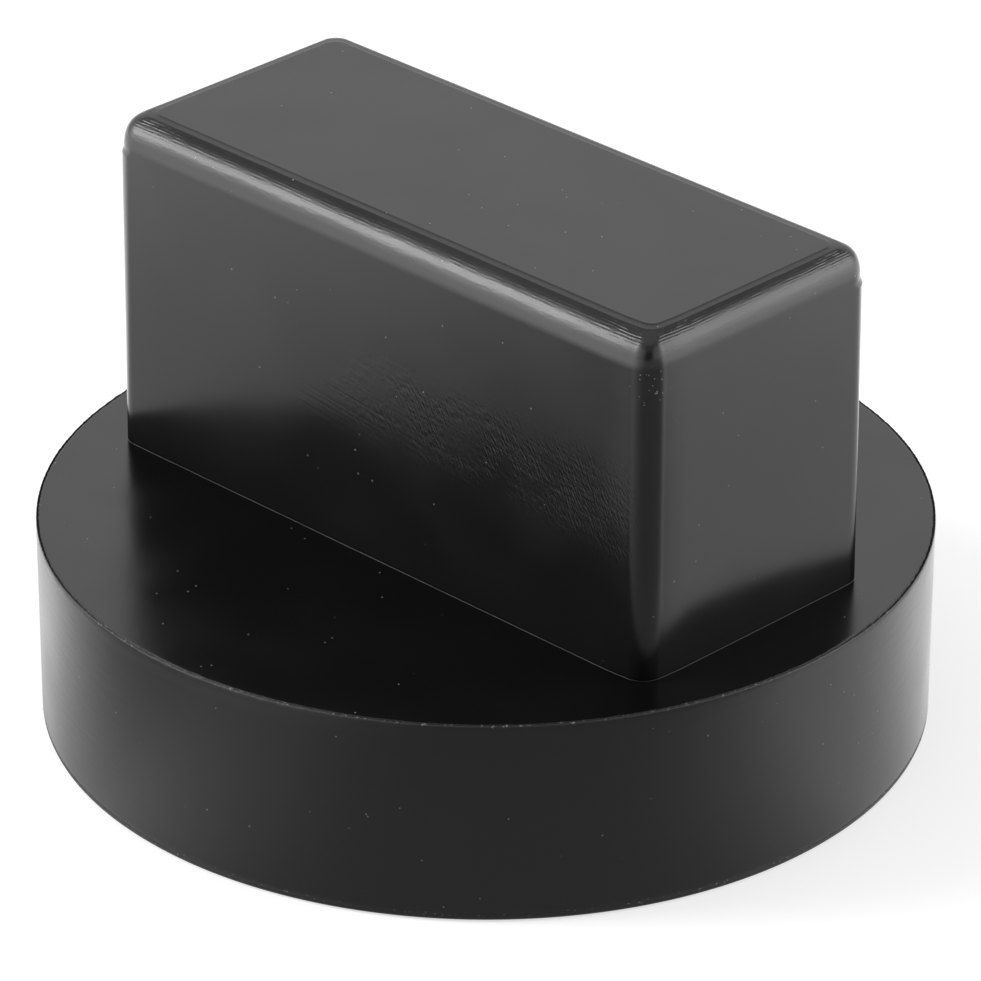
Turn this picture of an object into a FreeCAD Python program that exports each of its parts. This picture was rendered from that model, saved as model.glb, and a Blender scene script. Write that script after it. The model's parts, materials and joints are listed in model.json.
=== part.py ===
import FreeCAD, Part
import math
import os

# Jack pad adapter: a puck of black rubber that stands on the saddle of a jack,
# with a rounded oblong boss on top that enters the socket under a car's sill.
# It is moulded in one shot, so the whole product is a single solid.
# Millimetres, +Z up. The origin is the centre of the disc's underside, and +X
# runs along the length of the boss.

# Disc: diameter across its upper rim, thickness, and the taper for release.
disc_diameter = 65.0
disc_thickness = 15.6
disc_draft_deg = 0.2
# The upper rim is the parting line of the mould and stays nearly sharp.
rim_break = 0.15
# The lower edge is a small round.
base_edge_radius = 0.5

# Boss: its size where it meets the disc, its height above the disc, its taper,
# and the radius of its four upright corners.
boss_length = 53.5
boss_width = 22.84
boss_height = 26.2
boss_draft_deg = 0.2
boss_corner_radius = 1.85
# The boss cavity of the mould sits slightly off the disc's centre.
boss_offset_x = 0.0
boss_offset_y = -0.2
# Fillet at the foot of the boss, where it grows out of the disc.
boss_foot_radius = 0.3

# Crown: the last few millimetres of the boss, from a separate cutter. It stands
# back from the walls by a hairline step, which widens at the four corners, where
# the crown is rounder than the walls. Its rolled edge meets the flat land in a
# shallow crease, and is tighter across the ends than along the sides.
crown_depth = 2.75
crown_step = 0.03
crown_corner_radius = 2.2
crown_side_radius = 2.45
crown_end_radius = 2.05
crown_crease_deg = 10.0
# Least upright wall left under the roll.
crown_wall_least = 0.1

# Plate on which the foot fillet is drawn, so that it runs all round the boss.
foot_plate_depth = 2.0
foot_plate_margin = 5.0

# Two lengths count as equal within this.
tolerance = 1e-6


def tapered_block(length, width, height, taper, start_z):
    """An upright block on the boss axis, narrower by taper all round at its top."""
    half_length = length / 2
    half_width = width / 2
    block = Part.makeWedge(-half_length, 0, -half_width, taper - half_width, taper - half_length,
                           half_length, height, half_width, half_width - taper, half_length - taper)
    block.rotate(FreeCAD.Vector(0, 0, 0), FreeCAD.Vector(1, 0, 0), 90)
    block.translate(FreeCAD.Vector(boss_offset_x, boss_offset_y, start_z))
    return block


def wall_height():
    """Height of the drafted walls, from the disc up to the step under the crown."""
    return boss_height - crown_depth


def wall_taper():
    """How far each wall leans in between the disc and the step."""
    return wall_height() * math.tan(math.radians(boss_draft_deg))


def make_disc():
    """The puck, revolved from its half section: flat underside, round lower edge, drafted side."""
    rim_radius = disc_diameter / 2
    draft = math.tan(math.radians(disc_draft_deg))
    side_low_radius = rim_radius - draft * (disc_thickness - base_edge_radius)
    round_centre_x = side_low_radius - base_edge_radius
    round_reach = base_edge_radius * math.sqrt(0.5)

    axis_low = FreeCAD.Vector(0, 0, 0)
    underside_edge = FreeCAD.Vector(round_centre_x, 0, 0)
    round_middle = FreeCAD.Vector(round_centre_x + round_reach, 0, base_edge_radius - round_reach)
    side_low = FreeCAD.Vector(side_low_radius, 0, base_edge_radius)
    side_high = FreeCAD.Vector(rim_radius, 0, disc_thickness - rim_break)
    top_edge = FreeCAD.Vector(rim_radius - rim_break, 0, disc_thickness)
    axis_high = FreeCAD.Vector(0, 0, disc_thickness)

    section = Part.Wire([
        Part.makeLine(axis_low, underside_edge),
        Part.Arc(underside_edge, round_middle, side_low).toShape(),
        Part.makeLine(side_low, side_high),
        Part.makeLine(side_high, top_edge),
        Part.makeLine(top_edge, axis_high),
        Part.makeLine(axis_high, axis_low),
    ])
    return Part.Face(section).revolve(axis_low, FreeCAD.Vector(0, 0, 1), 360)


def make_walls():
    """The drafted walls of the boss with the fillet at their foot, on a plate that is cut away again."""
    block = tapered_block(boss_length, boss_width, wall_height(), wall_taper(), disc_thickness)
    upright_edges = [edge for edge in block.Edges if edge.BoundBox.ZLength > wall_height() / 2]
    walls = block.makeFillet(boss_corner_radius, upright_edges)
    margin = foot_plate_margin + boss_foot_radius
    plate_corner = FreeCAD.Vector(boss_offset_x - boss_length / 2 - margin,
                                  boss_offset_y - boss_width / 2 - margin,
                                  disc_thickness - foot_plate_depth)
    plate = Part.makeBox(boss_length + 2 * margin, boss_width + 2 * margin, foot_plate_depth,
                         plate_corner)
    blank = plate.fuse(walls)
    foot_edges = []
    for edge in blank.Edges:
        box = edge.BoundBox
        level = abs(box.ZMin - disc_thickness) < tolerance and box.ZLength < tolerance
        if level and box.XLength < boss_length and box.YLength < boss_width:
            foot_edges.append(edge)
    return blank.makeFillet(boss_foot_radius, foot_edges).cut(plate)


def make_crown():
    """The crown: an upright block with its top edges rolled over, cut flat where the land begins."""
    length = boss_length - 2 * (wall_taper() + crown_step)
    width = boss_width - 2 * (wall_taper() + crown_step)
    widest_roll = crown_depth - crown_wall_least
    side_roll = min(crown_side_radius, widest_roll)
    end_roll = min(crown_end_radius, widest_roll)

    # The roll is cut off by the land this far below its own highest point.
    crease_drop = side_roll * (1 - math.cos(math.radians(crown_crease_deg)))
    start_z = disc_thickness + wall_height()
    land_z = disc_thickness + boss_height
    block = tapered_block(length, width, crown_depth + crease_drop, 0, start_z)

    # Sides, ends and upright corners are rounded together, each with its own radius,
    # because the roll along the sides is wider than the corners that it passes over.
    rounded_edges = []
    for number, edge in enumerate(block.Edges, 1):
        box = edge.BoundBox
        if box.ZLength > crown_depth / 2:
            rounded_edges.append((number, crown_corner_radius, crown_corner_radius))
        elif box.ZMin > land_z and box.YLength < tolerance:
            rounded_edges.append((number, side_roll, side_roll))
        elif box.ZMin > land_z and box.XLength < tolerance:
            rounded_edges.append((number, end_roll, end_roll))

    document = FreeCAD.newDocument("crown")
    base = document.addObject("Part::Feature", "block")
    base.Shape = block
    roll = document.addObject("Part::Fillet", "roll")
    roll.Base = base
    roll.Edges = rounded_edges
    document.recompute()
    rolled = roll.Shape.copy()
    FreeCAD.closeDocument("crown")

    waste_corner = FreeCAD.Vector(boss_offset_x - length, boss_offset_y - width, land_z)
    waste = Part.makeBox(2 * length, 2 * width, crown_depth, waste_corner)
    return rolled.cut(waste)


def make_jack_pad():
    """Disc, walls and crown joined into the single moulded body."""
    joined = make_disc().fuse([make_walls(), make_crown()])
    return joined.Solids[0]


os.makedirs("parts", exist_ok=True)
jack_pad = make_jack_pad()
jack_pad.exportStep("parts/jack_pad.step")
print("jack_pad: valid", jack_pad.isValid(), "faces", len(jack_pad.Faces),
      "volume cm3", round(jack_pad.Volume / 1000, 3))
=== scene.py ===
# %% [markdown]
# # A jack pad adapter in black rubber
#
# The pad is one lump of moulded rubber: a thick round puck that stands on the saddle of a jack, with an
# oblong boss on top that enters the lifting socket of a car. There is nothing to take apart, so all of its
# character is in the skin: a rolled edge round the top of the boss, a ragged parting line round the puck,
# and black rubber that is satin in one place and dull in the next.
#
# The frame that is loaded first is the exact solid. It says where everything is and how large it is, and
# the lesson dresses it: a finer mesh of the same shape, its finish, and a small photographic studio.

import json
import math
import random

import bpy
import numpy as np
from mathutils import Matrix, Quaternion, Vector


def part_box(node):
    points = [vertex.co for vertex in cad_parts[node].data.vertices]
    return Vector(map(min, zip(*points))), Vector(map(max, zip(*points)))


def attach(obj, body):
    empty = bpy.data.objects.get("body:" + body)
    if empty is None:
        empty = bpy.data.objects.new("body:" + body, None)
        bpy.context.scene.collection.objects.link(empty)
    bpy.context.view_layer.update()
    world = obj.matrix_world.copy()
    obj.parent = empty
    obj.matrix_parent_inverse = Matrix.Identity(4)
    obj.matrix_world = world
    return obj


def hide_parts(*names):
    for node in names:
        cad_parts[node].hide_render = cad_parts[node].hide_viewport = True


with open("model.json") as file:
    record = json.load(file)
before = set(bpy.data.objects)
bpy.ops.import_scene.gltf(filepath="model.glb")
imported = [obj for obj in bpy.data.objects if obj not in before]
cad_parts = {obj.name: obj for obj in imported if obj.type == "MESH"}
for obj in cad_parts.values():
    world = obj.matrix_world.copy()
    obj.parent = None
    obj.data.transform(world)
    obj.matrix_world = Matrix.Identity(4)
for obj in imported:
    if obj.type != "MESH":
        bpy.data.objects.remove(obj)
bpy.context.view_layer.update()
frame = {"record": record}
pad_low, pad_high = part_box("jack_pad")
print("the solid measures", [round(1000 * side, 2) for side in pad_high - pad_low], "mm")

# %% [markdown]
# ## Sizes
#
# The main sizes are read from the frame, so that the skin follows the solid. The rest are the maker's own
# numbers for the mould: tapers that let the rubber come out, small radii, and the depth of the crown that a
# second cutter made. Lengths are in millimetres up to the moment when the mesh is written, because that is
# how such a part is drawn.

# %% Sizes in millimetres
METRE = 0.001
mounts = {mount["name"]: mount for mount in frame["record"]["mounts"]}
boss_x, boss_y, land_z = [value / METRE for value in mounts["boss_top"]["pos_m"]]
disc_top_z = mounts["shoulder_front"]["pos_m"][2] / METRE
rim_radius = (pad_high.x - pad_low.x) / METRE / 2

base_edge_radius = 0.5
disc_draft = math.tan(math.radians(0.2))
rim_break = 0.12

boss_half_length = 53.5 / 2
boss_half_width = 22.84 / 2
boss_corner_radius = 1.85
boss_draft = math.tan(math.radians(0.2))
foot_radius = 0.014

crown_depth = 2.75
crown_corner_radius = 2.2
land_corner_radius = 0.95
crease_angle = math.radians(10.0)

side_low_radius = rim_radius - disc_draft * (disc_top_z - base_edge_radius)
step_z = land_z - crown_depth
wall_inset = boss_draft * (step_z - disc_top_z)
print("disc", 2 * rim_radius, "by", disc_top_z, "mm; land at", land_z, "mm; step at", round(step_z, 2), "mm")

# %% [markdown]
# ## A skin of rings
#
# The whole outside is one closed sheet, so it can be made like a basket: ring after ring of points, each
# joined to the one before. A sculpted mesh would do it too, but rings keep every edge of the mould exactly
# where it belongs, and they give two useful numbers for free: how far a point lies round the part, and how
# far up its section. The puck has rings of many points, because its rim is ragged, and the boss has half as
# many, so the two join two to one on the flat between them.
#
# Ragged lines come from filtered noise: white noise with only a band of its waves kept. The band sets the
# size of the crumbs, and because the noise is closed like the ring it has no seam.

# %% Helpers for rings
disc_count = 1800
boss_count = 900


def wobble(count, round_length, shortest, longest, size, seed):
    """A closed wavy line: noise with the waves between two lengths in millimetres, of a given mean size."""
    noise = np.random.default_rng(seed).standard_normal(count)
    waves = np.fft.rfft(noise)
    per_mm = np.arange(len(waves)) / round_length
    waves[(per_mm < 1 / longest) | (per_mm > 1 / shortest)] = 0
    line = np.fft.irfft(waves, count)
    return line * size / line.std()


def circle_ring(radius, height):
    """Points of the puck, evenly round its axis; radius and height may differ from point to point."""
    turn = np.arange(disc_count) * 2 * math.pi / disc_count
    return np.column_stack([radius * np.cos(turn), radius * np.sin(turn), height + 0 * turn])


skin = []


def add_ring(points, step, worn=0.0, ridged=0.0, turned=0.0):
    """Adds a ring to the skin. step is its distance from the last one along the section, in millimetres."""
    section = skin[-1]["section"] + step if skin else 0.0
    blank = np.zeros(len(points))
    skin.append({"points": points, "section": section, "worn": worn + blank,
                 "ridged": ridged + blank, "turned": turned + blank})


print("rings of", disc_count, "and", boss_count, "points")

# %% [markdown]
# ## The outline of the boss
#
# An oblong with round corners is four quarters, each mirrored from the first. A quarter runs from the
# middle of an end, along half of that end, round the corner and along half of a side. Each of the three
# stretches gets a fixed number of points, so that the points of all rings stand over one another, also
# where the corners grow tighter towards the top. The corners get the closest points.
#
# The four sides can be drawn in by different amounts, because the cutter that rounded the top did not
# round all four edges alike. Where the mould was polished, most of all at the near corner, the walls ease
# into the round over their last two millimetres.

# %% The outline of the boss
end_points = 60
corner_points = 33
quarter_points = boss_count // 4
side_points = quarter_points - end_points - corner_points
quadrant, place = np.divmod(np.arange(boss_count), quarter_points)
place = np.where(quadrant % 2 == 1, quarter_points - place, place)
along_end = np.clip(place / end_points, 0, 1)
round_corner = np.clip((place - end_points) / corner_points, 0, 1)
along_side = np.clip((place - end_points - corner_points) / side_points, 0, 1)
at_left = (quadrant == 1) | (quadrant == 2)
at_front = quadrant >= 2
facing = np.column_stack([np.where(at_left, -1, 1) * np.cos(round_corner * math.pi / 2),
                          np.where(at_front, -1, 1) * np.sin(round_corner * math.pi / 2)])
at_corner = 4 * round_corner * (1 - round_corner)
near_corner = quadrant == 3
to_end_corner = (1 - along_end) * (boss_half_width - crown_corner_radius)
to_side_corner = along_side * (boss_half_length - crown_corner_radius)
corner_distance = np.where(place > end_points + corner_points / 2, to_side_corner, to_end_corner)

# How much of the easing each corner has: back right, back left, front left and the near one, front right.
ease_shares = (0.2, 0.0, 0.12, 1.0)
ease_depth = 0.12
ease_reach = 2.4
near_round = np.clip(1 - corner_distance / ease_reach, 0, 1)
eased = np.choose(quadrant, ease_shares) * ease_depth * near_round ** 2
print("quarter of the boss:", end_points, "points to the corner,", corner_points, "round it,",
      side_points, "on")


# %% Rings of the boss
def by_edge(right, back, left, front):
    """A value for each point of the outline: one for each of the four edges, blended round the corners."""
    blend = round_corner * round_corner * (3 - 2 * round_corner)
    return np.where(at_left, left, right) * (1 - blend) + np.where(at_front, front, back) * blend


def boss_ring(height, corner_radius=boss_corner_radius, right=0.0, back=0.0, left=0.0, front=0.0, bulge=0.0):
    """Points round the boss. Each edge is drawn in from the foot's outline by its own amount."""
    half_x = boss_half_length - np.where(at_left, left, right)
    half_y = boss_half_width - np.where(at_front, front, back)
    turn = round_corner * math.pi / 2
    x = (half_x - corner_radius) * (1 - along_side) + corner_radius * np.cos(turn)
    y = (half_y - corner_radius) * along_end + corner_radius * np.sin(turn)
    x = np.where(at_left, -x, x) + (bulge - eased) * facing[:, 0]
    y = np.where(at_front, -y, y) + (bulge - eased) * facing[:, 1]
    return np.column_stack([x + boss_x, y + boss_y, height + np.zeros(boss_count)])


def all_round(inset):
    """The same inset for all four edges."""
    return {"right": inset, "back": inset, "left": inset, "front": inset}


print("ring of the boss at the foot:", len(boss_ring(disc_top_z)), "points")

# %% [markdown]
# ## The puck
#
# The underside is flat, because it stands on the saddle. Its edge is a small round with a fine ragged line
# just above it, where rubber crept between two plates of the mould. The side leans out by a fifth of a
# degree. At the top the mould parts: rubber that was torn off there leaves a thin ragged lip with a broken
# groove behind it, a tenth or two of a millimetre wide, and here and there a crumb.

# %% Rings of the underside and its edge
round_centre = side_low_radius - base_edge_radius
for radius in (6.0, 14.0, 22.0, 29.0, round_centre - 0.5, round_centre):
    add_ring(circle_ring(radius, 0.0), 6.0)
for angle in (0.5, 1.0, 1.35):
    reach = base_edge_radius * math.sin(angle)
    rise = base_edge_radius * (1 - math.cos(angle))
    add_ring(circle_ring(round_centre + reach, rise), 0.2, worn=0.3)
print("underside:", len(skin), "rings")

# %% Rings of the ragged line above the lower edge
rim_length = 2 * math.pi * rim_radius
witness = wobble(disc_count, rim_length, 0.3, 3.0, 0.012, seed=11)
witness_z = 0.62 + wobble(disc_count, rim_length, 0.5, 6.0, 0.03, seed=12)


def side_radius(height):
    """Radius of the puck's drafted side at a height."""
    return side_low_radius + disc_draft * (height - base_edge_radius)


add_ring(circle_ring(side_radius(0.5) - 0.01, 0.5), 0.1, worn=0.3)
add_ring(circle_ring(side_radius(0.6) - 0.02 - np.abs(witness), witness_z - 0.04), 0.1, worn=0.7)
add_ring(circle_ring(side_radius(0.7) - 0.004, witness_z + 0.06), 0.1, worn=0.3)
add_ring(circle_ring(side_radius(1.0), 1.0), 0.3, turned=1.0)
print("ragged line at", round(float(witness_z.min()), 2), "to", round(float(witness_z.max()), 2), "mm")

# %% Rings of the side
for height in (3.0, 8.0, 14.4, 15.1):
    add_ring(circle_ring(side_radius(height), height), 3.0, turned=1.0)
print("side: leans out from", round(side_radius(1.0), 3), "to", round(side_radius(15.1), 3), "mm")

# %% The torn rubber and its crumbs
crumb_count = 260
torn = np.abs(wobble(disc_count, rim_length, 0.24, 2.5, 0.03, seed=21))
low_torn = np.abs(wobble(disc_count, rim_length, 0.3, 4.0, 0.022, seed=22))
burr = 0.004 + np.abs(wobble(disc_count, rim_length, 0.24, 1.2, 0.012, seed=23))
crumb_dice = random.Random(5)
crumbs = np.zeros(disc_count)
for crumb in range(crumb_count):
    middle = crumb_dice.randrange(disc_count)
    height = crumb_dice.uniform(0.01, 0.06)
    burr[middle] += height
    burr[(middle + 1) % disc_count] += height * crumb_dice.uniform(0.2, 0.9)
    crumbs[middle] = crumb_dice.uniform(0.3, 1.0)
print("rim:", crumb_count, "crumbs; burr up to", round(float(burr.max()), 3), "mm high")

# %% Rings of the rim: its lip, then the groove behind it
torn_wear = 0.6
rim_lip = rim_radius - 0.5 * torn
groove_floor = disc_top_z - rim_break - 0.05 - low_torn
add_ring(circle_ring(side_radius(15.4), groove_floor), 0.3, turned=1.0)
add_ring(circle_ring(rim_lip - 0.01, disc_top_z - 0.05 - low_torn), 0.1, worn=0.3 + 0.7 * crumbs)
add_ring(circle_ring(rim_lip - 0.025, disc_top_z - 0.03 + burr), 0.1, worn=torn_wear + 0.4 * crumbs)
add_ring(circle_ring(rim_lip - 0.04, disc_top_z - 0.04 + 0.5 * burr), 0.1, worn=torn_wear)
add_ring(circle_ring(rim_lip - 0.05, groove_floor), 0.1, worn=torn_wear)
for inward, height, wear in ((0.17, groove_floor, torn_wear), (0.174, disc_top_z - 0.02, torn_wear),
                             (0.178, disc_top_z - 0.006, 0.2), (0.2, disc_top_z, 0.0)):
    add_ring(circle_ring(rim_lip - inward - 1.2 * torn, height), 0.1, worn=wear)
add_ring(circle_ring(rim_radius - 0.42, disc_top_z), 0.15)
add_ring(circle_ring(rim_radius - 0.8, disc_top_z), 0.4)
print("puck:", len(skin), "rings")

# %% [markdown]
# ## From the round rim to the oblong foot
#
# The flat on top of the puck is the only place where a circle has to turn into an oblong. The rings there
# are a mixture of the two outlines. As they all lie in one plane nobody sees them, but they let the rings
# of the boss grow out of the rings of the puck without a cut.

# %% Rings across the flat and up the foot
foot_flat = boss_ring(disc_top_z, boss_corner_radius + foot_radius, **all_round(-foot_radius))
every_second = skin[-1]["points"][::2]
for share in (0.15, 0.4, 0.7, 0.93, 0.99):
    add_ring(every_second * (1 - share) + foot_flat * share, 1.5)
add_ring(foot_flat, 0.4)
for rise in (foot_radius, 2 * foot_radius):
    add_ring(boss_ring(disc_top_z + rise), 0.02)
print("flat and foot: the rings are down from", disc_count, "to", boss_count, "points")

# %% [markdown]
# ## Walls and ledge
#
# The walls lean in by a fifth of a degree. Less than three millimetres under the top the crown begins, which
# was cut by another tool. On the four flats it runs on from the walls without a mark, but at three of the
# corners the tool was rounder than the walls, so it leaves a small ledge there, with a ragged lip. At the
# near corner it was ground until it fitted.

# %% Rings of the walls and the ledge
boss_length_round = 4 * (boss_half_length + boss_half_width)
for height in (15.8, 18.0, 22.0, 26.0, 30.0, 34.0, 37.5):
    add_ring(boss_ring(height, **all_round(boss_draft * (height - disc_top_z))), 3.5)

crown_corners = np.where(near_corner, boss_corner_radius, crown_corner_radius)
ledge_wobble = np.abs(wobble(boss_count, boss_length_round, 0.4, 2.5, 0.016, seed=31))
ledge_lip = at_corner * ~near_corner * ledge_wobble
ledge_line = wobble(boss_count, boss_length_round, 0.6, 5.0, 0.03, seed=32)
ledge_low = step_z - 0.3
ledge_high = step_z + 0.25
add_ring(boss_ring(ledge_low - 0.1 + ledge_line, **all_round(wall_inset)), 1.2)
for share in (0.0, 0.25, 0.5, 0.75, 1.0):
    blend = share * share * (3 - 2 * share)
    corner = boss_corner_radius + (crown_corners - boss_corner_radius) * blend
    height = ledge_low + (ledge_high - ledge_low) * share + ledge_line * (1 - share)
    add_ring(boss_ring(height, corner, bulge=ledge_lip * (1 - share) ** 2, **all_round(wall_inset)), 0.14)
print("walls: ledge from", round(ledge_low, 2), "to", round(ledge_high, 2), "mm")

# %% [markdown]
# ## The rolled edge
#
# The crown is the part that catches the light. Its edge rolls over like the edge of a tyre and stops a
# little before it would lie flat, in a shallow crease round the land. Each edge is a quarter of an ellipse
# with its own reach and depth. The corner between two edges grows tighter on the way up, because the tool
# that rounded them was moved along straight lines, and so the two rolls meet in a neat mitre. Only the
# crease itself turns the corner in a wider bend.
#
# Just below the strip the tool left a narrow terrace, which shows as a double line, and near the corners,
# where it slowed down, a comb of fine ridges. The strength of the ridges is kept on the mesh as a number
# for each point, and the finish draws them later.

# %% Sizes of the rolled edge
roll_reach = {"right": 1.78, "back": 2.3, "left": 2.2, "front": 2.27}
roll_depth = by_edge(2.3, 2.35, 2.3, 2.5)
roll_end = math.pi / 2 - crease_angle
roll_length = 3.4
roll_places = (roll_length, 3.15, 2.88, 2.62, 2.38, 2.16, 1.95, 1.76, 1.58, 1.41, 1.25, 1.11, 0.98, 0.87,
               0.78, 0.7, 0.62, 0.55, 0.48, 0.41, 0.34)
terrace_place = 0.53
terrace_width = 0.1
terrace_height = 0.008
ridge_place = 1.0
ridge_width = 0.62
ridge_reach = 3.0
ridge_least = 0.2


def roll_angle(place_on_roll):
    """The angle up the roll at a distance in millimetres from its top."""
    return roll_end * (1 - place_on_roll / roll_length)


def roll_inset(angle):
    """How far each of the four edges is drawn in at an angle up the roll."""
    return {edge: wall_inset + reach * (1 - math.cos(angle)) for edge, reach in roll_reach.items()}


def rolled_corner(angle):
    """Radius of the corners at an angle up the roll, at each point of the outline."""
    return crown_corners * math.cos(angle) ** 1.4 + 1.5 * land_corner_radius * (angle / roll_end) ** 5


print("roll reaches in by", roll_reach, "mm")

# %% Rings of the rolled edge
ridge_strength = ridge_least + (1 - ridge_least) * np.exp(-(corner_distance / ridge_reach) ** 2)
ridge_strength = ridge_strength * (1 - at_corner)
last_place = roll_places[0]
for place_on_roll in roll_places:
    angle = roll_angle(place_on_roll)
    terrace = terrace_height * math.exp(-((place_on_roll - terrace_place) / terrace_width) ** 2)
    height = land_z - roll_depth * (math.sin(roll_end) - math.sin(angle)) + terrace * math.sin(angle)
    ridged = math.exp(-((place_on_roll - ridge_place) / ridge_width) ** 4) * ridge_strength
    ring = boss_ring(height, rolled_corner(angle), bulge=terrace * math.cos(angle), **roll_inset(angle))
    add_ring(ring, last_place - place_on_roll, ridged=ridged)
    last_place = place_on_roll
print("roll", round(roll_length, 2), "mm long on the front, in", len(roll_places), "rings")

# %% [markdown]
# ## Strip and land
#
# Between the roll and the land lies a narrow strip that is nearly flat, and a crease runs along its inner
# side. Breaks like these stay crisp if two rings lie close together there: shading is blended over each
# ring, and between those two it has no room to.

# %% Rings of the strip, the crease and the land
strip_past_roll = 0.3
strip_angle = roll_angle(roll_places[-1])
strip_drop = roll_depth * (math.sin(roll_end) - math.sin(strip_angle))
strip_corner = rolled_corner(strip_angle)
strip_inset = roll_inset(strip_angle)
land_inset = {edge: value + strip_past_roll for edge, value in roll_inset(roll_end).items()}

# Share of the way across the strip, and share of its drop that is still to come.
strip_rings = ((0.02, 0.985), (0.66, 0.53), (0.68, 0.51), (0.98, 0.03),
               (1.0, 0.0), (1.02, 0.0), (1.6, 0.0))
for share, sunk in strip_rings:
    inset = {edge: strip_inset[edge] * (1 - share) + land_inset[edge] * share for edge in land_inset}
    corner = strip_corner * (1 - share) + land_corner_radius * share
    add_ring(boss_ring(land_z - sunk * strip_drop, corner, **inset), 0.1)
inner_edge = skin[-1]["points"]
land_middle = np.array([boss_x, boss_y, land_z])
for share in (0.12, 0.45, 0.75):
    add_ring(inner_edge * (1 - share) + land_middle * share, 3.0)
print("skin:", len(skin), "rings, section", round(skin[-1]["section"], 1), "mm")

# %% [markdown]
# ## Joining the rings
#
# Each pair of rings is joined by a band of quads. Where the count halves, every two steps of the outer
# ring meet one step of the inner, in three triangles. A fan closes the middle of the underside and of the
# land. The map that is laid on the mesh is the pair of numbers mentioned above, in metres: along the ring,
# and up the section. Streaks and tool marks are drawn in it later, and they then follow every edge by
# themselves. The map starts and ends at the hidden corner at the back, so that its seam does not show.

# %% Join the rings into one closed mesh
seam_share = 0.42


def join_rings(rings):
    """Vertices, faces and the map of a closed skin made of rings, with a point at each end."""
    starts = []
    total = 1
    for ring in rings:
        starts.append(total)
        total += len(ring["points"])
    vertices = np.vstack([[0.0, 0.0, 0.0]] + [ring["points"] for ring in rings] + [land_middle])
    faces = []
    map_places = []

    def corner(ring_number, step):
        ring = rings[ring_number]
        count = len(ring["points"])
        vertex = starts[ring_number] + (step + round(seam_share * count)) % count
        return vertex, (step / count * rim_length, ring["section"])

    def add_face(*corners):
        faces.append([vertex for vertex, place in corners])
        map_places.extend(place for vertex, place in corners)

    for step in range(disc_count):
        centre = (0, (step / disc_count * rim_length, 0.0))
        add_face(centre, corner(0, step + 1), corner(0, step))
    for number in range(len(rings) - 1):
        low_count = len(rings[number]["points"])
        high_count = len(rings[number + 1]["points"])
        for step in range(high_count):
            if low_count == high_count:
                add_face(corner(number, step), corner(number, step + 1),
                         corner(number + 1, step + 1), corner(number + 1, step))
            else:
                left, middle, right = [corner(number, 2 * step + shift) for shift in range(3)]
                add_face(left, middle, corner(number + 1, step))
                add_face(middle, corner(number + 1, step + 1), corner(number + 1, step))
                add_face(middle, right, corner(number + 1, step + 1))
    last = len(rings) - 1
    for step in range(boss_count):
        centre = (total, (step / boss_count * rim_length, rings[last]["section"] + 5.0))
        add_face(corner(last, step), corner(last, step + 1), centre)
    return vertices, faces, map_places


print("seam at", round(360 * seam_share), "degrees, counted from the right end")

# %% Write the mesh, its map and its three numbers
vertices, faces, map_places = join_rings(skin)
mesh = bpy.data.meshes.new("jack_pad_skin")
mesh.from_pydata((vertices * METRE).tolist(), [], faces)
mesh.polygons.foreach_set("use_smooth", [True] * len(mesh.polygons))
skin_map = mesh.uv_layers.new(name="round_and_up")
skin_map.data.foreach_set("uv", (np.array(map_places) * METRE).ravel())
for name in ("worn", "ridged", "turned"):
    values = np.concatenate([[0.0]] + [ring[name] for ring in skin] + [[0.0]])
    mesh.attributes.new(name, "FLOAT", "POINT").data.foreach_set("value", values)
mesh.validate()
mesh.update()
triangles = sum(len(face) - 2 for face in faces)
print("mesh:", len(vertices), "points,", triangles, "triangles")

# %% Put the skin in place of the plain solid
jack_pad = bpy.data.objects.new("jack_pad_rubber", mesh)
bpy.context.scene.collection.objects.link(jack_pad)
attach(jack_pad, "root")
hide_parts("jack_pad")
print("dressed:", jack_pad.name)

# %% [markdown]
# ## Helpers for materials
#
# A material is a small network of nodes. These helpers each add one node, so that the networks further
# down read like sums. Lengths inside them are in millimetres too: the object's own coordinates are
# multiplied by a thousand once, at the start.

# %% Helpers for sums and ramps
def math_node(tree, operation, first, second=0.0, clamp=False):
    """A Math node; first and second are sockets or numbers."""
    node = tree.nodes.new("ShaderNodeMath")
    node.operation = operation
    node.use_clamp = clamp
    for socket, value in zip(node.inputs, (first, second)):
        if isinstance(value, (int, float)):
            socket.default_value = value
        else:
            tree.links.new(value, socket)
    return node.outputs[0]


def times(tree, *factors):
    """The product of two or more sockets or numbers."""
    product = factors[0]
    for factor in factors[1:]:
        product = math_node(tree, "MULTIPLY", product, factor)
    return product


def plus(tree, *terms):
    """The sum of two or more sockets or numbers."""
    total = terms[0]
    for term in terms[1:]:
        total = math_node(tree, "ADD", total, term)
    return total


def ramp_node(tree, value, start, end, start_level, end_level):
    """A smooth change from start_level to end_level as value goes from start to end."""
    node = tree.nodes.new("ShaderNodeMapRange")
    node.interpolation_type = "SMOOTHSTEP"
    for name, number in (("From Min", start), ("From Max", end),
                         ("To Min", start_level), ("To Max", end_level)):
        node.inputs[name].default_value = number
    tree.links.new(value, node.inputs["Value"])
    return node.outputs["Result"]


# %% Helpers for vectors and noise
def vector_node(tree, operation, first, second):
    """A Vector Math node; its second vector is a socket or three numbers."""
    node = tree.nodes.new("ShaderNodeVectorMath")
    node.operation = operation
    tree.links.new(first, node.inputs[0])
    if isinstance(second, (tuple, Vector)):
        node.inputs[1].default_value = second
    else:
        tree.links.new(second, node.inputs[1])
    return node.outputs["Value"] if operation in ("DOT_PRODUCT", "DISTANCE") else node.outputs["Vector"]


def dot_node(tree, vector, direction):
    """How far a vector points along a fixed direction."""
    return vector_node(tree, "DOT_PRODUCT", vector, Vector(direction).normalized())


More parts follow.
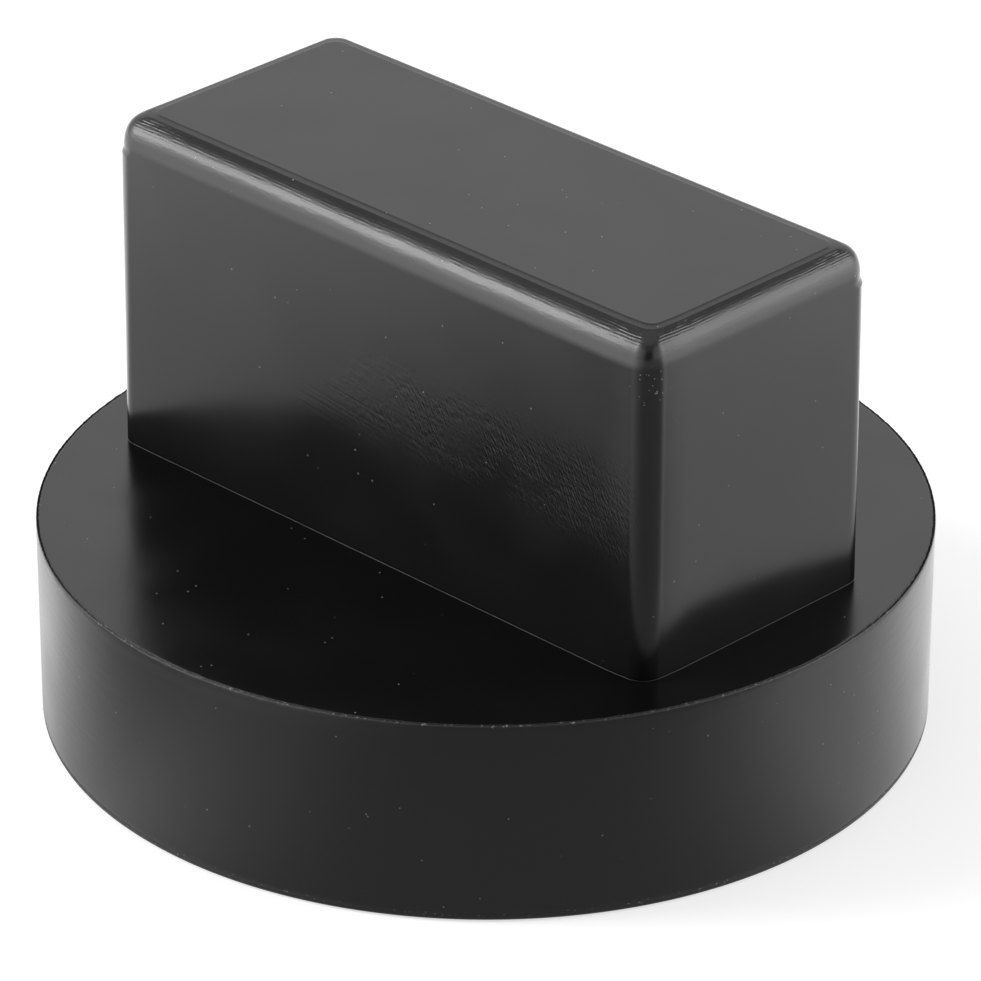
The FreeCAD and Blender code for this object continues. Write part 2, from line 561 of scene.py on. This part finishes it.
def noise_node(tree, vector):
    """Soft noise between 0 and 1, with features about one unit of the vector wide."""
    node = tree.nodes.new("ShaderNodeTexNoise")
    node.inputs["Scale"].default_value = 0.6
    node.inputs["Detail"].default_value = 1.0
    tree.links.new(vector, node.inputs["Vector"])
    return node.outputs["Fac"]


# %% Helpers for effects
def new_group(name, inputs, output_names):
    """An empty node group: its tree, its input sockets and its output node."""
    group = bpy.data.node_groups.new(name, "ShaderNodeTree")
    for title, value in inputs.items():
        kind = "NodeSocketVector" if value is None else "NodeSocketFloat"
        socket = group.interface.new_socket(title, in_out="INPUT", socket_type=kind)
        if value is not None:
            socket.default_value = value
    for title in output_names:
        group.interface.new_socket(title, in_out="OUTPUT", socket_type="NodeSocketFloat")
    return group, group.nodes.new("NodeGroupInput").outputs, group.nodes.new("NodeGroupOutput").inputs


def use_group(tree, group, **values):
    """Places a group in a tree and sets its inputs from sockets or numbers."""
    node = tree.nodes.new("ShaderNodeGroup")
    node.node_tree = group
    for title, value in values.items():
        if isinstance(value, (int, float)):
            node.inputs[title].default_value = value
        else:
            tree.links.new(value, node.inputs[title])
    return node.outputs


def scaled(tree, vector, x, y, z):
    """A vector divided by three lengths, which may be sockets."""
    lengths = tree.nodes.new("ShaderNodeCombineXYZ")
    for socket, value in zip(lengths.inputs, (x, y, z)):
        if isinstance(value, (int, float)):
            socket.default_value = value
        else:
            tree.links.new(value, socket)
    return vector_node(tree, "DIVIDE", vector, lengths.outputs[0])


# %% [markdown]
# ## Effects
#
# Each effect is a node group with its own inputs, so it can be tried with other values, or on another
# material, without being drawn again. Grain is the fine skin that the sand-blasted mould leaves. Streaks
# are the same noise pulled out in one direction, as a cutting tool leaves them. Ridges are a plain wave up
# the section, broken up so that it doesn't look drawn. Specks are dust: small balls scattered in space, and
# where one cuts the surface there is a speck.

# %% Grain and streaks
grain, given, made = new_group("mould_grain", {"Vector": None, "Size": 0.3, "Depth": 0.001}, ["Height"])
grain_place = scaled(grain, given["Vector"], given["Size"], given["Size"], given["Size"])
grain_level = math_node(grain, "SUBTRACT", noise_node(grain, grain_place), 0.5)
grain.links.new(times(grain, grain_level, given["Depth"]), made["Height"])

streak_inputs = {"Vector": None, "Length": 2.0, "Width": 0.15, "Depth": 0.001}
streaks, given, made = new_group("tool_streaks", streak_inputs, ["Height"])
streak_place = scaled(streaks, given["Vector"], given["Length"], given["Width"], 1.0)
streak_level = math_node(streaks, "SUBTRACT", noise_node(streaks, streak_place), 0.5)
streaks.links.new(times(streaks, streak_level, given["Depth"]), made["Height"])
print("grain:", len(grain.nodes), "nodes; streaks:", len(streaks.nodes), "nodes")

# %% Ridges and specks
ridges, given, made = new_group("tool_ridges", {"Vector": None, "Pitch": 0.19, "Depth": 0.001}, ["Height"])
map_parts = ridges.nodes.new("ShaderNodeSeparateXYZ")
ridges.links.new(given["Vector"], map_parts.inputs[0])
ridge_wander = times(ridges, noise_node(ridges, scaled(ridges, given["Vector"], 2.5, 1.5, 1.0)), 0.2)
ridge_turns = math_node(ridges, "DIVIDE", plus(ridges, map_parts.outputs["Y"], ridge_wander), given["Pitch"])
ridge_wave = math_node(ridges, "SINE", times(ridges, ridge_turns, 2 * math.pi))
ridge_patch = noise_node(ridges, scaled(ridges, given["Vector"], 0.8, 0.35, 1.0))
ridge_patch = ramp_node(ridges, ridge_patch, 0.35, 0.62, 0.0, 1.0)
ridges.links.new(times(ridges, ridge_wave, ridge_patch, given["Depth"]), made["Height"])

specks, given, made = new_group("dust_specks", {"Vector": None, "Spacing": 1.6, "Size": 0.06}, ["Mask"])
speck_cells = specks.nodes.new("ShaderNodeTexVoronoi")
speck_cells.inputs["Scale"].default_value = 1.0
specks.links.new(scaled(specks, given["Vector"], given["Spacing"], given["Spacing"], given["Spacing"]),
                 speck_cells.inputs["Vector"])
from_speck = times(specks, speck_cells.outputs["Distance"], given["Spacing"])
speck_edge = math_node(specks, "SUBTRACT", 1.0, math_node(specks, "DIVIDE", from_speck, given["Size"]), True)
specks.links.new(ramp_node(specks, speck_edge, 0.0, 0.5, 0.0, 1.0), made["Mask"])
print("effects:", [group.name for group in bpy.data.node_groups])

# %% [markdown]
# ## Rubber
#
# Carbon black makes the rubber swallow nearly all light, so what we see of it is its shine: a plain
# reflection, blurred by the fine grain of the mould. Everything that tells one place from another is
# therefore in the relief and in how blurred the shine is, and colour is only needed for dust, for the pale
# torn edge of the parting line, and to make the lower wall of the boss a little paler towards its foot.
#
# The relief is added up as one height in millimetres, and a single Bump node turns it into slopes.

# %% Rubber: where each mark lies
def new_material(name):
    material = bpy.data.materials.new(name)
    material.use_nodes = True
    nodes = material.node_tree.nodes
    nodes.clear()
    shader = nodes.new("ShaderNodeBsdfPrincipled")
    output = nodes.new("ShaderNodeOutputMaterial")
    material.node_tree.links.new(shader.outputs["BSDF"], output.inputs["Surface"])
    return material, shader


def attribute_node(tree, name):
    node = tree.nodes.new("ShaderNodeAttribute")
    node.attribute_name = name
    return node.outputs["Fac"]


rubber, shader = new_material("moulded_rubber")
mesh.materials.append(rubber)
tree = rubber.node_tree
coordinates = tree.nodes.new("ShaderNodeTexCoord")
in_mm = (1 / METRE, 1 / METRE, 1 / METRE)
solid_place = vector_node(tree, "MULTIPLY", coordinates.outputs["Object"], in_mm)
map_place = vector_node(tree, "MULTIPLY", coordinates.outputs["UV"], in_mm)
axes = tree.nodes.new("ShaderNodeSeparateXYZ")
tree.links.new(solid_place, axes.inputs[0])
worn = attribute_node(tree, "worn")
ridged = attribute_node(tree, "ridged")
turned = attribute_node(tree, "turned")
print("numbers on the mesh:", [attribute.name for attribute in mesh.attributes][-3:])

# %% Rubber: the sanded band on the long front wall
# The long front wall, and on it the band where the sanding marks of the mould show.
front_y = boss_y - boss_half_width
front_wall = ramp_node(tree, axes.outputs["Y"], front_y, front_y + 0.4, 1.0, 0.0)
on_boss = ramp_node(tree, axes.outputs["Z"], disc_top_z, disc_top_z + 0.4, 0.0, 1.0)
under_roll = ramp_node(tree, axes.outputs["Z"], land_z - 5.5, land_z - 3.0, 1.0, 0.0)
band_middle = 28.8
band_height = plus(tree, band_middle, times(tree, axes.outputs["X"], -0.03))
band_distance = math_node(tree, "ABSOLUTE", math_node(tree, "SUBTRACT", axes.outputs["Z"], band_height))
band = ramp_node(tree, band_distance, 1.5, 5.4, 1.0, 0.0)
band_start = ramp_node(tree, axes.outputs["X"], -9.0, 5.0, 0.0, 1.0)
patches = noise_node(tree, scaled(tree, solid_place, 1.6, 1.6, 1.1))
patches = ramp_node(tree, patches, 0.3, 0.5, 0.3, 1.0)
scratched = times(tree, front_wall, on_boss, under_roll, band, patches)
sanded = times(tree, scratched, band_start)
print("band of sanding marks:", band_middle, "mm above the floor")

# %% Rubber: relief of grain, ridges and streaks
fine = use_group(tree, grain, Vector=solid_place, Size=0.28, Depth=0.0022)["Height"]
broad = use_group(tree, grain, Vector=solid_place, Size=3.5, Depth=0.012)["Height"]
ridge_relief = use_group(tree, ridges, Vector=map_place, Pitch=0.24, Depth=0.015)["Height"]
roll_streaks = use_group(tree, streaks, Vector=map_place, Length=1.0, Width=0.17, Depth=0.013)["Height"]
side_streaks = use_group(tree, streaks, Vector=map_place, Length=1.5, Width=0.13, Depth=0.010)["Height"]
on_roll = ramp_node(tree, axes.outputs["Z"], land_z - 2.4, land_z - 1.6, 0.0, 1.0)
off_land = ramp_node(tree, axes.outputs["Z"], land_z - 0.06, land_z - 0.02, 1.0, 0.0)
cutter_relief = plus(tree, fine, broad, times(tree, ridge_relief, ridged),
                     times(tree, roll_streaks, on_roll, off_land), times(tree, side_streaks, turned))
print("relief of the cutter:", len(tree.nodes), "nodes")

# %% Rubber: relief of the sanding marks, each set in a frame of its own slant
slope_across = dot_node(tree, solid_place, (0.89, 0.0, 0.46))
slope_along = dot_node(tree, solid_place, (0.46, 0.0, -0.89))
sand_place = tree.nodes.new("ShaderNodeCombineXYZ")
tree.links.new(slope_along, sand_place.inputs["X"])
tree.links.new(slope_across, sand_place.inputs["Y"])
sand_marks = use_group(tree, streaks, Vector=sand_place.outputs[0],
                       Length=0.36, Width=0.1, Depth=0.034)["Height"]
long_place = tree.nodes.new("ShaderNodeCombineXYZ")
tree.links.new(dot_node(tree, solid_place, (1.0, 0.0, -0.1)), long_place.inputs["X"])
tree.links.new(dot_node(tree, solid_place, (0.1, 0.0, 1.0)), long_place.inputs["Y"])
long_marks = use_group(tree, streaks, Vector=long_place.outputs[0],
                       Length=5.0, Width=0.16, Depth=0.009)["Height"]
relief = plus(tree, cutter_relief, times(tree, sand_marks, sanded), times(tree, long_marks, scratched))
bump = tree.nodes.new("ShaderNodeBump")
bump.inputs["Strength"].default_value = 1.0
bump.inputs["Distance"].default_value = METRE
tree.links.new(relief, bump.inputs["Height"])
tree.links.new(bump.outputs["Normal"], shader.inputs["Normal"])
print("relief:", len(tree.nodes), "nodes so far")

# %% Rubber: what is pale
black_rubber = (0.0024, 0.0024, 0.0025, 1)
pale_colour = (0.3, 0.29, 0.28, 1)
dust_centre = (boss_half_length - 0.4, -boss_half_width + 0.4, 38.2)
dust = use_group(tree, specks, Vector=solid_place, Spacing=1.6, Size=0.075)["Mask"]
from_corner = vector_node(tree, "DISTANCE", solid_place, dust_centre)
corner_patch = ramp_node(tree, from_corner, 1.0, 1.9, 1.0, 0.0)
corner_dust = use_group(tree, specks, Vector=solid_place, Spacing=0.42, Size=0.075)["Mask"]
crumb_dust = use_group(tree, specks, Vector=solid_place, Spacing=0.4, Size=0.1)["Mask"]
torn_edge = ramp_node(tree, worn, 0.1, 0.6, 0.0, 1.0)
pale = math_node(tree, "MAXIMUM", times(tree, dust, 0.8), times(tree, corner_dust, corner_patch, 0.8))
pale = math_node(tree, "MAXIMUM", pale, times(tree, crumb_dust, torn_edge, 0.6))
pale = math_node(tree, "MAXIMUM", pale, ramp_node(tree, worn, 0.64, 0.9, 0.0, 0.9))
print("pale: dust, crumbs and torn edge")

# %% Rubber: colour and gloss
colour = tree.nodes.new("ShaderNodeMix")
colour.data_type = "RGBA"
colour.inputs["A"].default_value = black_rubber
colour.inputs["B"].default_value = pale_colour
# The lower wall of the boss is made a little paler towards its foot, by mixing in a trace of the pale
# colour.
low_down = ramp_node(tree, axes.outputs["Z"], disc_top_z + 9, disc_top_z + 16, 1.0, 0.0)
low_wall = times(tree, on_boss, low_down)
paler_toward_foot = times(tree, low_wall, 0.008)
tree.links.new(plus(tree, pale, paler_toward_foot), colour.inputs["Factor"])
tree.links.new(colour.outputs["Result"], shader.inputs["Base Color"])

cloud = noise_node(tree, scaled(tree, solid_place, 5.0, 5.0, 5.0))
satin = ramp_node(tree, cloud, 0.3, 0.7, 0.2, 0.26)
gloss = plus(tree, satin, times(tree, torn_edge, 0.55), times(tree, pale, 0.4))
tree.links.new(gloss, shader.inputs["Roughness"])
shader.inputs["IOR"].default_value = 1.75
print("rubber:", len(tree.nodes), "nodes")

# %% [markdown]
# ## Floor
#
# The pad stands on a sheet of white paper. Black rubber mirrors that paper, and the photograph shows it to
# be brighter further out and behind the pad, and shaded in a wedge in front of it, where the tripod keeps
# the light away, and in a patch before its left end. So the paper has two faces: what the camera sees is
# plain white that still takes the shadow, and what a mirror sees is a glow with those lights and shades
# painted into it, which no lamp casts.

# %% The sheet of paper, as the camera sees it
photographer = (0.703, -0.711, 0.0)
across = (0.711, 0.703, 0.0)
floor_mesh = bpy.data.meshes.new("floor")
floor_size = 4.0
floor_mesh.from_pydata([(-floor_size, -floor_size, 0), (floor_size, -floor_size, 0),
                        (floor_size, floor_size, 0), (-floor_size, floor_size, 0)], [], [(0, 1, 2, 3)])
floor = bpy.data.objects.new("floor", floor_mesh)
bpy.context.scene.collection.objects.link(floor)
paper = bpy.data.materials.new("white_paper")
paper.use_nodes = True
paper.cycles.emission_sampling = "NONE"
tree = paper.node_tree
tree.nodes.clear()
paper_face = tree.nodes.new("ShaderNodeBsdfDiffuse")
paper_face.inputs["Color"].default_value = (0.5, 0.5, 0.5, 1)
paper_glow = tree.nodes.new("ShaderNodeEmission")
rays = tree.nodes.new("ShaderNodeLightPath")
seen = math_node(tree, "ADD", rays.outputs["Is Camera Ray"], rays.outputs["Is Transmission Ray"], True)
tree.links.new(times(tree, seen, 0.6), paper_glow.inputs["Strength"])
lit_paper = tree.nodes.new("ShaderNodeAddShader")
tree.links.new(paper_face.outputs[0], lit_paper.inputs[0])
tree.links.new(paper_glow.outputs[0], lit_paper.inputs[1])
print("paper:", 2 * floor_size, "m square")

# %% Painted light and shade of the paper, as a mirror sees them
floor_place = tree.nodes.new("ShaderNodeTexCoord").outputs["Object"]
floor_distance = vector_node(tree, "DISTANCE", floor_place, (0.0, 0.0, 0.0))
toward = dot_node(tree, floor_place, photographer)
slant = math_node(tree, "DIVIDE", dot_node(tree, floor_place, across),
                  math_node(tree, "MAXIMUM", toward, 0.01))
wedge_turn = ramp_node(tree, floor_distance, 0.055, 0.075, 0.05, 0.6)
off_middle = math_node(tree, "ABSOLUTE", math_node(tree, "SUBTRACT", slant, wedge_turn))
wedge_start = ramp_node(tree, floor_distance, 0.055, 0.075, 0.25, 0.6)
past_start = math_node(tree, "SUBTRACT", off_middle, wedge_start)
wedge = ramp_node(tree, past_start, 0.0, 1.5, 1.0, 0.0)
wedge_depth = ramp_node(tree, floor_distance, 0.05, 0.09, 0.65, 0.73)
wedge_shade = math_node(tree, "SUBTRACT", 1.0, times(tree, wedge, wedge_depth))
close = ramp_node(tree, floor_distance, 0.045, 0.06, 1.0, 0.0)
behind = plus(tree, 1.0, times(tree, close, ramp_node(tree, toward, -0.014, 0.018, 0.9, 0.05)),
              ramp_node(tree, toward, -0.05, -0.026, 1.5, 0.0))
patch_centre = (-0.026, -0.059, 0.0)
from_patch = vector_node(tree, "DISTANCE", floor_place, patch_centre)
patch_shade = ramp_node(tree, from_patch, 0.004, 0.04, 0.45, 1.0)
near_level = 0.73
far_level = 1.52
near_light = times(tree, behind, near_level)
far_share = ramp_node(tree, floor_distance, 0.075, 0.17, 0.0, 1.0)
near_share = math_node(tree, "SUBTRACT", 1.0, far_share)
sheet_light = plus(tree, times(tree, near_light, near_share), times(tree, far_share, far_level))
print("mirrored paper:", near_level, "near the pad,", far_level, "further out")

# %% Join the two faces
# The face that mirrors see is a glow with painted light and painted shade, lit by no lamp.
mirrored = tree.nodes.new("ShaderNodeEmission")
tree.links.new(times(tree, wedge_shade, patch_shade, sheet_light), mirrored.inputs["Strength"])
which = tree.nodes.new("ShaderNodeMixShader")
tree.links.new(rays.outputs["Is Glossy Ray"], which.inputs["Fac"])
tree.links.new(lit_paper.outputs[0], which.inputs[1])
tree.links.new(mirrored.outputs[0], which.inputs[2])
output = tree.nodes.new("ShaderNodeOutputMaterial")
tree.links.new(which.outputs[0], output.inputs["Surface"])
floor_mesh.materials.append(paper)
print("floor:", len(tree.nodes), "nodes")

# %% [markdown]
# ## Lamps
#
# Two soft boxes stand to the left and to the right of the pad, as the camera sees it. They make the bright
# lines along the rolled edges, and the bulb of the left one shows through its cloth as a brighter core.
# Light that has already met the pad once counts for little, because a black wall that mirrors a black flat
# swallows it.

# %% Light that meets the pad once
def first_bounce(tree, later_share):
    """1 for light that meets the pad once, and later_share for light that meets it again."""
    rays = tree.nodes.new("ShaderNodeLightPath")
    arrived = math_node(tree, "ADD", rays.outputs["Is Glossy Ray"], rays.outputs["Is Diffuse Ray"])
    bounces = math_node(tree, "SUBTRACT", rays.outputs["Ray Depth"], arrived)
    return ramp_node(tree, bounces, 1.2, 1.8, 1.0, later_share)


# %% Lamps
def soft_lamp(name, direction, distance, width, height, radiance, later_share):
    """A soft box: an area lamp that faces the pad from a direction, at a given brightness of its face."""
    lamp = bpy.data.lights.new(name, "AREA")
    lamp.shape = "RECTANGLE"
    lamp.size = width
    lamp.size_y = height
    lamp.energy = radiance * math.pi * width * height
    lamp.use_nodes = True
    tree = lamp.node_tree
    tree.links.new(first_bounce(tree, later_share), tree.nodes["Emission"].inputs["Strength"])
    body = bpy.data.objects.new(name, lamp)
    body.location = Vector(direction).normalized() * distance + lamp_aim
    body.rotation_mode = "QUATERNION"
    body.rotation_quaternion = Vector(direction).to_track_quat("Z", "Y")
    bpy.context.scene.collection.objects.link(body)
    print("lamp:", name, "of", width, "by", height, "m")


lamp_aim = Vector((0, 0, 0.025))
soft_lamp("soft_box_left", (-0.60, -0.57, 0.485), 1.2, 0.5, 0.74, 8.6, 0.006)
soft_lamp("bulb_left", (-0.60, -0.57, 0.43), 1.15, 0.28, 0.15, 24.0, 0.006)
soft_lamp("soft_box_right", (0.66, 0.64, 0.34), 1.2, 0.6, 0.78, 5.9, 0.06)

# %% [markdown]
# ## The room
#
# The room is a pale tent. It glows round the two soft boxes, is dimmer above some forty degrees with a
# little more light straight overhead, and has a dark gap where the photographer stands. The camera itself
# sees plain white behind the pad.

# %% The tent
world = bpy.data.worlds.new("studio_room")
bpy.context.scene.world = world
world.use_nodes = True
tree = world.node_tree
tree.nodes.clear()
output = tree.nodes.new("ShaderNodeOutputWorld")
background = tree.nodes.new("ShaderNodeBackground")
tree.links.new(background.outputs[0], output.inputs["Surface"])
direction = tree.nodes.new("ShaderNodeTexCoord").outputs["Generated"]
split = tree.nodes.new("ShaderNodeSeparateXYZ")
tree.links.new(direction, split.inputs[0])
rise = split.outputs["Z"]
gap_low = ramp_node(tree, rise, 0.56, 0.68, 0.93, 0.42)
gap_high = ramp_node(tree, rise, 0.76, 0.88, 0.0, 0.27)
room = plus(tree, gap_low, gap_high)
print("tent:", len(tree.nodes), "nodes")

# %% The gap where the photographer stands, and the glow round the lamps
gap_depth = 0.88
aside = math_node(tree, "ABSOLUTE", dot_node(tree, direction, across))
behind_camera = ramp_node(tree, dot_node(tree, direction, photographer), 0.0, 0.3, 0.0, 1.0)
within_gap = ramp_node(tree, aside, 0.2, 0.55, 1.0, 0.0)
below = ramp_node(tree, rise, 0.35, 0.92, 1.0, 0.0)
kept = math_node(tree, "SUBTRACT", 1.0, times(tree, behind_camera, within_gap, below, gap_depth))
room = times(tree, room, kept)
halos = (((-0.62, -0.75, 0.25), 0.78, 0.9), ((0.75, 0.65, 0.05), 0.8, 0.78))
for halo_centre, halo_start, halo_light in halos:
    closeness = dot_node(tree, direction, halo_centre)
    room = plus(tree, room, ramp_node(tree, closeness, halo_start, 0.95, 0.0, halo_light))
room = times(tree, room, first_bounce(tree, 0.06))
print("glows:", len(halos))

# %% Plain white for the camera
rays = tree.nodes.new("ShaderNodeLightPath")
seen = math_node(tree, "ADD", rays.outputs["Is Camera Ray"], rays.outputs["Is Transmission Ray"], True)
pick = tree.nodes.new("ShaderNodeMix")
pick.data_type = "FLOAT"
tree.links.new(seen, pick.inputs["Factor"])
tree.links.new(room, pick.inputs["A"])
pick.inputs["B"].default_value = 1.0
tree.links.new(pick.outputs["Result"], background.inputs["Strength"])
print("room:", len(tree.nodes), "nodes")

# %% [markdown]
# ## Camera
#
# A long lens from nearly half a metre away looks down on the near corner by nearly thirty degrees. Its
# place, aim and lens come from fitting the edges of the solid to the photograph.

# %% Camera
bpy.context.scene.view_settings.view_transform = "Standard"
camera_place = Vector((296.342, -300.101, 237.628))
camera_aim = Vector((-1.495, 1.981, 15.401))
camera_roll = math.radians(0.1689)
photo_width = 981
focal_pixels = 6589.7

camera_data = bpy.data.cameras.new("camera")
camera_data.sensor_width = 36.0
camera_data.lens = camera_data.sensor_width * focal_pixels / photo_width
camera_data.clip_start = 0.01
camera_data.clip_end = 20.0
camera = bpy.data.objects.new("camera", camera_data)
camera.location = camera_place * METRE
camera.rotation_mode = "QUATERNION"
aim = (camera_aim - camera_place).to_track_quat("-Z", "Y")
camera.rotation_quaternion = aim @ Quaternion((0, 0, 1), camera_roll)
bpy.context.scene.collection.objects.link(camera)
bpy.context.scene.camera = camera
print("camera:", round((camera_place - camera_aim).length), "mm away, lens", round(camera_data.lens), "mm")
